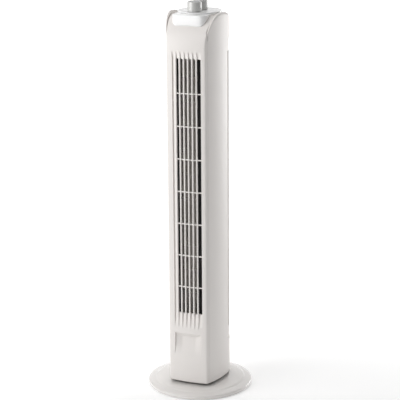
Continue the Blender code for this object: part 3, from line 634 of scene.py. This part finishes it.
def build_front_shell():
    """The bowed face with its grooves, windows and scoop, running back as a slope and a deck."""
    columns = face_section()
    end_x, end_depth = columns[-1][:2]
    corner_x = columns[-CORNER_STEPS - SIDE_STEPS - 1][0]
    outer, inner = [], []
    path = front_path()
    for y, z, ny, nz, size, inset in path:
        on_face = nz < 1e-9
        width, scale = end_x, 1.0
        if not on_face:
            width = slope_half_width(y, ny, end_depth * size)
            scale = (width - (end_x - corner_x) * size) / corner_x
        beside_slots = on_face and SLOT_BOTTOM - 1e-6 < z < SLOT_TOP + 1e-6
        outer_row, inner_row = [], []
        for x, depth, plan_x, plan_y in columns:
            across, down = x * scale, depth * size
            if abs(x) > corner_x + 1e-9:
                across = math.copysign(width - (end_x - abs(x)) * size, x)
            if on_face:
                down += groove_depth(x, z) + scoop_depth(x, z)
            across -= plan_x * inset
            down -= plan_y * inset
            wall = (FIN_DEPTH if beside_slots and abs(x) < FIN_ZONE else FRONT_WALL) - inset
            outer_row.append((across, y - ny * down, z - nz * down))
            across -= plan_x * wall
            down -= plan_y * wall
            inner_row.append((across, y - ny * down, z - nz * down))
        outer.append(outer_row)
        inner.append(inner_row)
    keep = np.ones((len(path) - 1, len(columns) - 1), bool)
    windows = [groove_edges(k) for k in range(1, GROOVE_COUNT)]
    for r in range(len(path) - 1):
        if not SLOT_BOTTOM < (path[r][1] + path[r + 1][1]) / 2 < SLOT_TOP:
            continue
        for c in range(len(columns) - 1):
            x = (columns[c][0] + columns[c + 1][0]) / 2
            keep[r, c] = not any(left < x < right for left, right in windows)
    mesh = shell_mesh(outer, inner, keep)
    return new_piece("front_shell", mesh, SHELL_WHITE, "tower", ["front_cover"], 38)


def build_seam_tongues():
    """The front cover's tongues: strips that reach behind the side walls and close the seams."""
    parts = []
    for side in (-1, 1):
        rings = []
        for y, z, ny, nz, size, _ in front_path()[3:]:
            tangent = CORNER_DEPTH * size
            edge = max(y - ny * tangent, FRONT_END)
            outer = side_half_width(edge) - ear_inset(edge) + 0.0006
            inner = outer - 0.0050
            near, far = tangent + 0.0006, tangent + 0.0036
            ring = [(side * x, y - ny * depth, z - nz * depth)
                    for x, depth in ((outer, near), (outer, far), (inner, far), (inner, near))]
            rings.append(ring[::side])
        parts.append(loop_mesh(rings))
    return new_piece("seam_tongues", joined(parts), SHELL_WHITE, "tower")


def build_rungs():
    """The level rungs that tie the fins together, a little behind the face."""
    left, right = groove_edges(1)[0] - 0.0010, groove_edges(GROOVE_COUNT - 1)[1] + 0.0010
    bars = []
    for k in range(RUNG_COUNT):
        level = RUNG_FIRST + k * RUNG_PITCH
        rings = []
        for x in np.linspace(left, right, 15):
            front = FACE_Y + crown(x) + RUNG_BACK
            back = front + RUNG_DEPTH
            section = rounded_profile([
                (front, level - RUNG_HALF, 0.0007), (front, level + RUNG_HALF, 0.0007),
                (back, level + 0.0010, 0.0), (back, level - 0.0010, 0.0)], 3)
            rings.append([(x, y, z) for y, z in section])
        bars.append(loop_mesh(rings))
    return new_piece("grille_rungs", joined(bars), SHELL_WHITE, "tower")


# ---------------------------------------------------------------- rear cover
def rear_columns():
    """Plan of the rear cover from the left seam round the back to the right seam, with normals."""
    turns = (15, 20, 26, 32, 39, 46, 54, 62, 71, 80, 90)
    ys = [SEAM_Y] + [TOP_Y - EAR_LEN * math.cos(math.radians(t)) for t in turns] + [-0.004, 0.004]
    side = []
    for y in ys:
        x = side_half_width(y)
        side.append((x, y, (x - BACK_R + SIDE_R) / SIDE_R, (y - BACK_Y) / SIDE_R))
    edge = math.degrees(PANEL_EDGE)
    angles = [0] + list(np.linspace(edge, 180 - edge, 45)) + [180]
    back = []
    for angle in angles[::-1]:
        c, s = math.cos(math.radians(angle)), math.sin(math.radians(angle))
        back.append((BACK_R * c, BACK_Y + BACK_R * s, c, s))
    left = [(-x, y, -nx, ny) for x, y, nx, ny in side]
    return left + back + side[::-1]


def edge_frames(columns):
    """Top edge of each column: the point, the plan normal and the upward direction along the wall."""
    tops = [Vector((x, y, ear_height(y))) for x, y, _, _ in columns]
    frames = []
    for i, top in enumerate(tops):
        run = tops[min(i + 1, len(tops) - 1)] - tops[max(i - 1, 0)]
        normal = Vector((columns[i][2], columns[i][3], 0.0))
        up = run.cross(normal).normalized()
        if up.z < 0:
            up = -up
        frames.append((top, normal, up))
    return frames


def on_outline(point, normal):
    """Slide a point of a side wall onto the outline at its own depth."""
    if point.y > BACK_Y:
        flat = Vector((point.x, point.y - BACK_Y, 0.0)).normalized() * BACK_R
        return Vector((flat.x, flat.y + BACK_Y, point.z))
    side = 1 if normal.x > 0 else -1
    return Vector((side * side_half_width(point.y), point.y, point.z))


def build_rear_shell():
    """Side walls and round back in one moulding, with full rounded top edges and the panel's window."""
    columns = rear_columns()
    frames = edge_frames(columns)
    levels = [0.0300, 0.0500, 0.0750, PANEL_BOTTOM - 0.0008, PANEL_BOTTOM]
    levels += list(np.linspace(PANEL_BOTTOM, PANEL_TOP, 11)[1:-1]) + [PANEL_TOP]
    outer, inner = [], []
    for turn in (0, 30, 60, 90):
        inset = BOTTOM_EDGE * (1 - math.sin(math.radians(turn)))
        z = BODY_BOTTOM + BOTTOM_EDGE * (1 - math.cos(math.radians(turn)))
        outer.append([(x - nx * inset, y - ny * inset, z) for x, y, nx, ny in columns])
        inner.append([(x - nx * WALL, y - ny * WALL, z) for x, y, nx, ny in columns])
    for z in levels:
        outer.append([(x, y, z) for x, y, _, _ in columns])
        inner.append([(x - nx * WALL, y - ny * WALL, z) for x, y, nx, ny in columns])
    first_top = len(outer)
    for share in (0.3, 0.6, 0.85, 1.0):
        row = []
        for (x, y, _, _), (top, normal, up) in zip(columns, frames):
            start = on_outline(top - up * ear_round(y), normal)
            foot = Vector((x, y, PANEL_TOP))
            row.append(on_outline(foot.lerp(start, share), normal))
        outer.append(row)
    for turn in (15, 30, 45, 60, 75, 90):
        s, c = math.sin(math.radians(turn)), math.cos(math.radians(turn))
        row = []
        for (x, y, _, _), (top, normal, up) in zip(columns, frames):
            radius = ear_round(y)
            row.append(on_outline(top - up * radius * (1 - s), normal) - normal * radius * (1 - c))
        outer.append(row)
    for back, down in ((0.0007, 0.0), (0.0002, 0.0002), (0.0, 0.0007), (0.0, 0.0040), (0.0, 0.0120)):
        row = []
        for (x, y, _, _), (top, normal, up) in zip(columns, frames):
            row.append(on_outline(top - up * down, normal) - normal * (ear_inset(y) - back))
        outer.append(row)
    count = len(outer) - first_top
    for k in range(count):
        row = []
        for (x, y, _, _), (top, normal, up), low in zip(columns, frames, inner[first_top - 1]):
            end = on_outline(top - up * 0.0135, normal) - normal * (ear_inset(y) + 0.0004)
            row.append(Vector(low).lerp(end, (k + 1) / count))
        inner.append(row)
    keep = np.ones((len(outer) - 1, len(columns) - 1), bool)
    for c in range(len(columns) - 1):
        x, y = columns[c][0] + columns[c + 1][0], columns[c][1] + columns[c + 1][1]
        angle = math.atan2(y / 2 - BACK_Y, abs(x) / 2)
        if angle < PANEL_EDGE:
            continue
        for r in range(len(outer) - 1):
            middle = (outer[r][c][2] + outer[r + 1][c][2]) / 2
            if PANEL_BOTTOM < middle < PANEL_TOP and r < first_top:
                keep[r, c] = False
    mesh = shell_mesh(outer, inner, keep)
    return new_piece("rear_shell", mesh, SHELL_WHITE, "tower", ["rear_cover"], 38)


def build_rear_deck():
    """The back half of the deck, between the side walls, with softened edges."""
    outer, inner = [], []
    round_off = 0.0020
    for y in np.linspace(BACK_Y + 0.0004, BACK_Y + BACK_R - ear_inset(0.07) - 0.0012, 20):
        reach = BACK_R - ear_inset(y) - 0.0006
        half = math.sqrt(max(reach**2 - (y - BACK_Y) ** 2, 1e-7))
        outer_row, inner_row = [], []
        for k in range(33):
            x = -half * math.cos(math.pi * k / 32)
            edge = max((abs(x) - half + round_off) / round_off, 0.0)
            fall = 0.25 * crown(x) + round_off * (1 - math.sqrt(max(1 - edge**2, 0.0)))
            outer_row.append((x, y, deck_height(y) - fall))
            inner_row.append((x * 0.98, y, deck_height(y) - fall - WALL))
        outer.append(outer_row)
        inner.append(inner_row)
    return new_piece("rear_deck", shell_mesh(outer, inner), SHELL_WHITE, "tower")


def band(section, first, last, steps):
    """Sweep a (radius, z) outline round the column's back."""
    rings = []
    for k in range(steps + 1):
        turn = first + (last - first) * k / steps
        c, s = math.cos(turn), math.sin(turn)
        rings.append([(r * c, BACK_Y + r * s, z) for r, z in section])
    return loop_mesh(rings)


def build_rear_panel():
    """The curved intake panel: a frame, many upright fins and level rungs behind them."""
    reach = BACK_R - PANEL_GAP
    start = PANEL_EDGE + PANEL_GAP / BACK_R
    end = math.pi - start
    sill, lintel = PANEL_OPEN
    parts = []
    for bottom, top in ((PANEL_BOTTOM + 0.0010, sill), (lintel, PANEL_TOP - 0.0010)):
        section = rounded_profile([(reach - WALL, bottom, 0.0), (reach, bottom, 0.0008),
                                   (reach, top, 0.0008), (reach - WALL, top, 0.0)], 3)
        parts.append(band(section, start, end, 48))
    width = PANEL_FIN_W / BACK_R
    for k in range(PANEL_FINS):
        first = start + (end - start - width) * k / (PANEL_FINS - 1)
        spokes = [(reach - 0.0004, 0.0), (reach, 0.2), (reach, 0.8), (reach - 0.0004, 1.0),
                  (reach - PANEL_FIN_D, 0.8), (reach - PANEL_FIN_D, 0.2)]
        outline = [(r * math.cos(first + width * share), BACK_Y + r * math.sin(first + width * share))
                   for r, share in spokes]
        parts.append(upright(outline, sill - 0.0005, lintel + 0.0005))
    for k in range(PANEL_RUNGS):
        z = sill + (lintel - sill) * (k + 1) / (PANEL_RUNGS + 1)
        section = [(reach - 0.0030, z - 0.0008), (reach - 0.0012, z - 0.0006),
                   (reach - 0.0012, z + 0.0006), (reach - 0.0030, z + 0.0008)]
        parts.append(band(section, start + width * 0.5, end - width * 0.5, 40))
    mesh = joined(parts)
    return new_piece("rear_panel", mesh, SHELL_WHITE, "tower", ["rear_grille"], 35)


# ---------------------------------------------------------------- controls
def box_outline():
    """Plan of the control box with normals: a flat front, round corners, hollow flanks, a round back."""
    front = BOX[0].y
    middle = BOX_HALF - BOX_CORNER
    half = [(x, front) for x in np.linspace(0.0, middle, 5)]
    half += arc((middle, front + BOX_CORNER), BOX_CORNER, -math.pi / 2, 0.0, 10)[1:]
    neck_x = BOX_HALF + NECK_R
    neck_y = BACK_Y - math.sqrt((DIAL_R + NECK_R) ** 2 - neck_x**2)
    meet = math.atan2(neck_y - BACK_Y, neck_x)
    half += arc((neck_x, neck_y), NECK_R, math.pi, meet + math.pi, 7)
    half += arc((0.0, BACK_Y), DIAL_R, meet, math.pi / 2, 28)[1:]
    points = half + [(-x, y) for x, y in half[-2:0:-1]]
    result = []
    for i, (x, y) in enumerate(points):
        ahead = points[(i + 1) % len(points)]
        behind = points[i - 1]
        along = Vector((ahead[0] - behind[0], ahead[1] - behind[1])).normalized()
        result.append((x, y, along.y, -along.x))
    return result


def build_turret():
    """The raised control box: a soft lower lip with a shadow gap, plain walls, a fine top edge."""
    outline = box_outline()
    top = BOX[1].z
    gap, lip, edge = 0.0008, 0.0024, 0.0014

    def ground(x, y):
        """The slope or the deck under a point of the outline."""
        front = max(y - 0.35 * crown(x), TOP_Y - DECK_LEN + 1e-4)
        return deck_height(front if y < TOP_Y else y)

    def ring(inset, share, rise=0.0):
        """One loop of the wall; share runs from the ground to the top, less where the wall is low."""
        points = []
        for x, y, nx, ny in outline:
            low = ground(x, y) + gap
            scale = min((top - low) / 0.0080, 1.0)
            z = low + (top - low) * share + rise * scale
            points.append((x - nx * inset * scale, y - ny * inset * scale, z))
        return points

    rings = [ring(0.0030, 0.0, -0.0060), ring(0.0030, 0.0, 0.0)]
    for turn in (0, 20, 40, 60, 80, 90):
        s, c = math.sin(math.radians(turn)), math.cos(math.radians(turn))
        rings.append(ring(lip * (1 - s), 0.0, lip * (1 - c)))
    rings += [ring(0.0, 0.45), ring(0.0, 0.75)]
    for turn in (0, 22, 45, 68, 90):
        s, c = math.sin(math.radians(turn)), math.cos(math.radians(turn))
        rings.append(ring(edge * (1 - c), 1.0, -edge * (1 - s)))
    rings.append([(x - nx * 0.0040, y - ny * 0.0040, top) for x, y, nx, ny in outline])
    mesh = loop_mesh(rings)
    return new_piece("control_turret", mesh, BOX_WHITE, "tower", ["control_box"], 38)


def build_dial():
    """The round dial plate: a fine edge and a field let in by a hair."""
    low, high, rim = DIAL[0].z, DIAL[1].z, DIAL[1].x
    profile = rounded_profile([
        (0.0, low, 0.0), (rim, low, 0.0), (rim, high, 0.0007),
        (SCALE_R, high, 0.0), (SCALE_R - 0.0004, high - 0.0003, 0.0), (0.0, high - 0.0003, 0.0)], 4)
    mesh = turned_mesh(profile, (0.0, BACK_Y), 120)
    return new_piece("dial_disc", mesh, BOX_WHITE, "tower", ["dial_plate"], 38)


def build_knob(name, body):
    """A turned knob: a shadow gap under it, a slight draft, a soft top edge and an inlaid cap."""
    low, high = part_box(f"{name}_knob")
    centre = ((low.x + high.x) / 2, (low.y + high.y) / 2)
    radius = (high.x - low.x) / 2
    bottom, top = low.z, high.z
    neck, seat = radius - 0.0022, top - 0.0006
    profile = rounded_profile([
        (0.0, bottom, 0.0), (neck, bottom, 0.0), (neck, bottom + 0.0009, 0.0),
        (radius, bottom + 0.0011, 0.0004), (radius - 0.0003, bottom + 0.0060, 0.0),
        (radius - 0.0006, top, 0.0014), (CAP_R + 0.0005, top, 0.0002),
        (CAP_R + 0.0003, seat, 0.0), (0.0, seat, 0.0)], 4)
    knob = new_piece(f"{name}_grip", turned_mesh(profile, centre, 96), MATERIALS["knob_silver"], body,
                     [f"{name}_knob", f"{name}_spindle"], 34)
    cap = rounded_profile([(0.0, top - 0.0007, 0.0), (CAP_R, top - 0.0007, 0.0),
                           (CAP_R, top - 0.0003, 0.0002), (0.0, top - 0.0001, 0.0)], 3)
    new_piece(f"{name}_cap", turned_mesh(cap, centre, 72), CAP_GREY, body)
    tip, tail = centre[1] - 0.0104, centre[1] - 0.0030
    left, right = centre[0] - POINTER_HALF, centre[0] + POINTER_HALF
    pointer = upright([(left, tip), (right, tip), (right, tail), (left, tail)], top - 0.0005, top)
    new_piece(f"{name}_pointer", pointer, BOX_WHITE, body)
    return knob


# ---------------------------------------------------------------- base
def build_base_dish():
    """The glossy round base: a low dome, a ridge, a falling lip and a rolled rim."""
    low = BASE[0].z
    profile = rounded_profile([
        (0.0115, 0.0170, 0.0), (0.0400, 0.0169, 0.0), (0.0600, 0.0164, 0.0), (0.0760, 0.0154, 0.0),
        (0.0865, 0.0140, 0.0), (0.0905, 0.0131, 0.0012), (0.0940, 0.0112, 0.0012), (0.1030, 0.0094, 0.0),
        (BASE_R, 0.0076, 0.0024), (BASE_R, low, 0.0004), (0.1058, low, 0.0), (0.1056, 0.0056, 0.0),
        (0.0900, 0.0092, 0.0), (0.0600, 0.0138, 0.0), (0.0115, 0.0145, 0.0)], 6)
    return new_piece("base_dish", turned_mesh(profile, segments=192), BASE_WHITE, "base",
                     ["base_shell"], 30)


# ---------------------------------------------------------------- impeller
def build_impeller():
    """The cross-flow wheel: many thin curved blades in short stages between rings."""
    centre = ((WHEEL[0].x + WHEEL[1].x) / 2, (WHEEL[0].y + WHEEL[1].y) / 2)
    radius = (WHEEL[1].x - WHEEL[0].x) / 2
    low, high = WHEEL[0].z, WHEEL[1].z
    stages, blades = 11, 34
    plate, ring_width = 0.0020, 0.0085
    root, chord, thick = radius - 0.0075, 0.0073, 0.0007
    step = (high - low - plate) / stages
    parts = []
    for k in range(stages + 1):
        z = low + step * k
        solid = k in (0, stages)
        inner = 0.0045 if solid else radius - ring_width
        profile = [(inner, z), (radius, z), (radius, z + plate), (inner, z + plate)]
        parts.append(turned_mesh(profile, centre, 56))
    for k in range(stages):
        bottom, top = low + step * k + 0.0018, low + step * (k + 1) + 0.0002
        for b in range(blades):
            start = 2 * math.pi * b / blades
            front, back = [], []
            for share in (0.0, 0.25, 0.5, 0.75, 1.0):
                reach = root + chord * share
                turn = start + 0.30 * share - 0.10 * share**2
                c, s = math.cos(turn), math.sin(turn)
                front.append((centre[0] + reach * c, centre[1] + reach * s))
                back.append((centre[0] + reach * c - thick * s, centre[1] + reach * s + thick * c))
            parts.append(upright(front + back[::-1], bottom, top))
    return new_piece("impeller_wheel", joined(parts), MATERIALS["grey_plastic"], "rotor",
                     ["impeller"], 30)


# ---------------------------------------------------------------- studio
def add_area(name, place, target, size, power):
    """A soft box that points at a target."""
    light = bpy.data.lights.new(name, "AREA")
    light.shape = "RECTANGLE"
    light.size, light.size_y = size
    light.energy = power
    obj = bpy.data.objects.new(name, light)
    obj.location = place
    aim = Vector(target) - Vector(place)
    obj.rotation_euler = aim.to_track_quat("-Z", "Y").to_euler()
    bpy.context.scene.collection.objects.link(obj)
    return obj


def fade_ahead(tree, source, near, far, low, high):
    """Ease a value from low to high along the way ahead of the camera."""
    nodes, links = tree.nodes, tree.links
    place = nodes.new("ShaderNodeTexCoord")
    along = nodes.new("ShaderNodeVectorMath")
    along.operation = "DOT_PRODUCT"
    along.inputs[1].default_value = AHEAD
    span = nodes.new("ShaderNodeMapRange")
    span.interpolation_type = "SMOOTHSTEP"
    for name, value in (("From Min", near), ("From Max", far), ("To Min", low), ("To Max", high)):
        span.inputs[name].default_value = value
    links.new(place.outputs[source], along.inputs[0])
    links.new(along.outputs["Value"], span.inputs["Value"])
    return span.outputs["Result"]


def build_floor():
    """A plain pale floor that glows towards the back, so that the far end stays as light as the near."""
    bm = bmesh.new()
    bmesh.ops.create_grid(bm, x_segments=2, y_segments=2, size=9.0)
    mesh = bpy.data.meshes.new("studio_floor")
    bm.to_mesh(mesh)
    bm.free()
    floor = bpy.data.objects.new("studio_floor", mesh)
    bpy.context.scene.collection.objects.link(floor)
    material = new_material("studio_floor", (0.90, 0.90, 0.90), 0.9)
    mesh.materials.append(material)
    glow = fade_ahead(material.node_tree, "Object", -0.5, 1.3, 0.08, 1.0)
    material.node_tree.links.new(glow, shader_of(material).inputs["Emission Strength"])
    shader_of(material).inputs["Emission Color"].default_value = (1.0, 1.0, 1.0, 1.0)


def build_world():
    """White light from all round, stronger from the far side."""
    world = bpy.data.worlds.new("studio")
    bpy.context.scene.world = world
    world.use_nodes = True
    background = world.node_tree.nodes["Background"]
    background.inputs["Color"].default_value = (1.0, 1.0, 1.0, 1.0)
    strength = fade_ahead(world.node_tree, "Generated", 0.0, 0.95, 0.26, 0.95)
    world.node_tree.links.new(strength, background.inputs["Strength"])


def build_studio():
    """A plain pale floor, soft light and the camera."""
    build_floor()
    build_world()
    add_area("key_left", (-0.90, -0.98, 1.04), (0.0, 0.0, 0.72), (1.2, 1.2), 15.0)
    add_area("top_soft", (0.0, 0.20, 2.40), (0.0, 0.0, 0.0), (2.0, 2.0), 11.0)
    add_area("rim_right", (0.92, 1.62, 0.40), (0.0, 0.0, 0.25), (1.0, 0.7), 10.5)

    build_camera()
    bpy.context.scene.view_settings.view_transform = "Standard"


def build_camera():
    """A long lens that looks down a little, from the fan's left-hand side."""
    heading, dip, roll = 22.2, 15.18, -0.43
    camera = bpy.data.cameras.new("camera")
    camera.sensor_width = 36.0
    camera.lens = 131.6
    camera.shift_x = 0.00275
    camera.clip_end = 60.0
    view = bpy.data.objects.new("camera", camera)
    turn = Matrix.Rotation(math.radians(heading), 3, "Z")
    tilt = Matrix.Rotation(math.radians(90 - dip), 3, "X")
    lean = Matrix.Rotation(math.radians(roll), 3, "Z")
    place = Matrix.Translation((1.0888, -2.6680, 1.1762))
    view.matrix_world = place @ (turn @ tilt @ lean).to_4x4()
    bpy.context.scene.collection.objects.link(view)
    bpy.context.scene.camera = view


finish_cad_nodes()
build_studio()
build_front_shell()
build_seam_tongues()
build_rungs()
build_rear_shell()
build_rear_deck()
build_rear_panel()
build_turret()
build_dial()
build_knob("speed", "speed_dial")
build_knob("timer", "timer_dial")
build_base_dish()
build_impeller()
